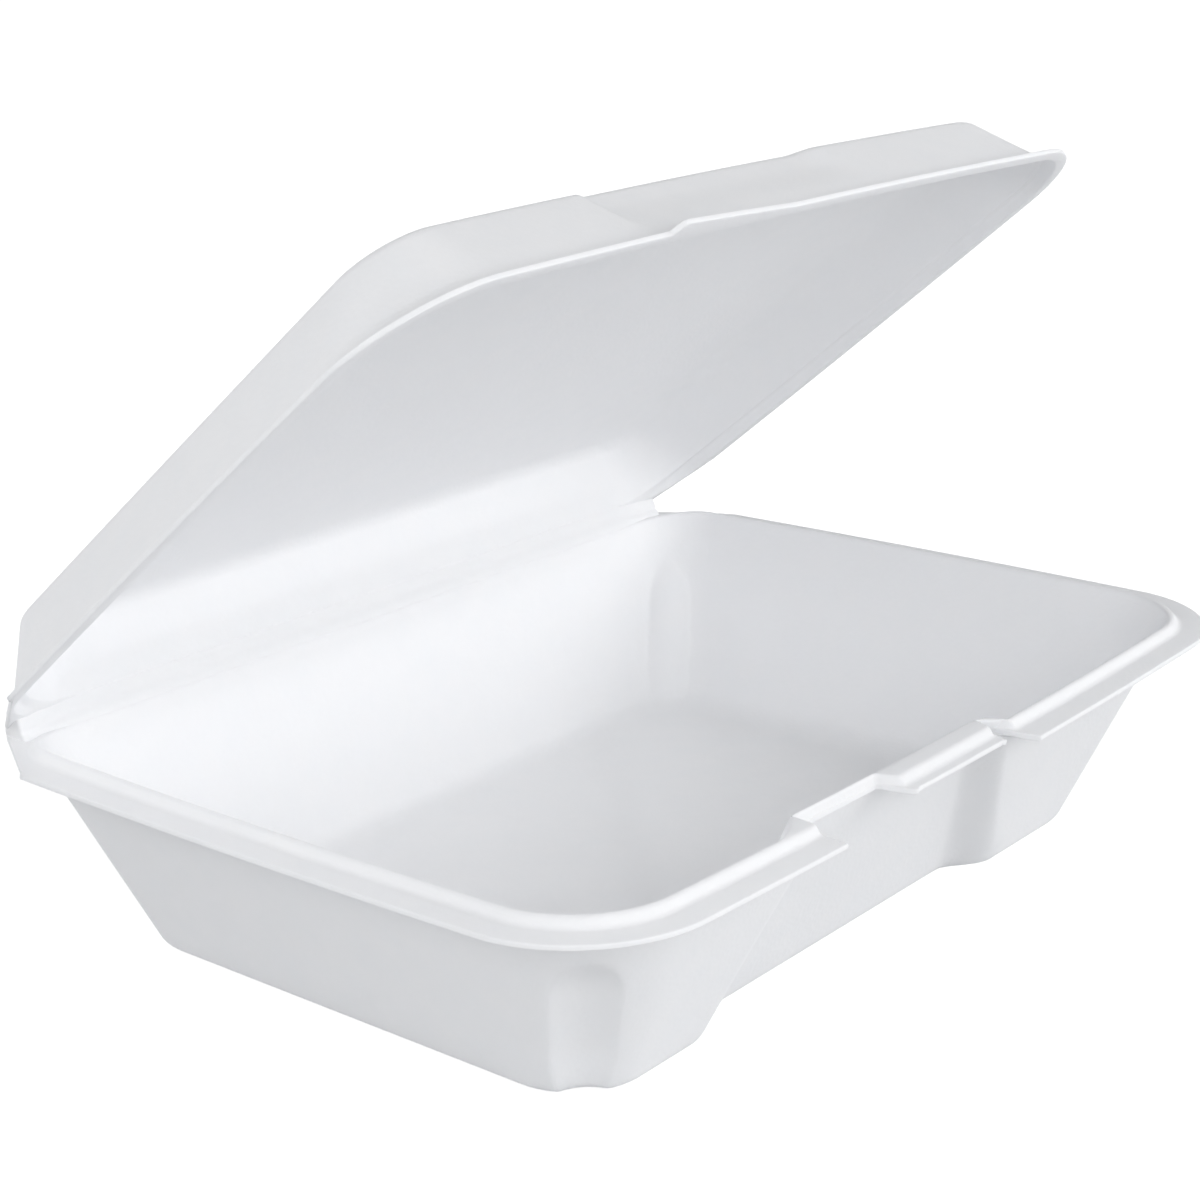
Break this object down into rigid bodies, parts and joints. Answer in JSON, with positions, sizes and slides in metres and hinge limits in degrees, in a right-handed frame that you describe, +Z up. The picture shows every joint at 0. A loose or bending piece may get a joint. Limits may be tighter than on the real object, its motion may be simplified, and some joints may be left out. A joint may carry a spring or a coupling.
{
  "type": "foam clamshell container",
  "caption": "Hinged takeaway container of thermoformed white foam: tapered tray with fluted corners and front latch, and a shallower lid that folds over it along a rear crease.",
  "frame": {"origin": "centre of the tray's flat underside", "axes": "+Z up, +X along the rear crease, -Y towards the latch at the front"},
  "size_m": [0.2398, 0.1788, 0.162],
  "materials": {
    "foam": "fine-celled expanded polystyrene foam, soft matte"
  },
  "bodies": {
    "tray": {"tray": "foam"},
    "lid": {"lid": "foam"}
  },
  "joints": [
    {"name": "lid_crease", "type": "hinge", "parent": "tray", "child": "lid", "pos_m": [0, 0.08475, 0.04735], "axis": [-1, 0, 0], "range_deg": [-38.8, 141.2]}
  ]
}
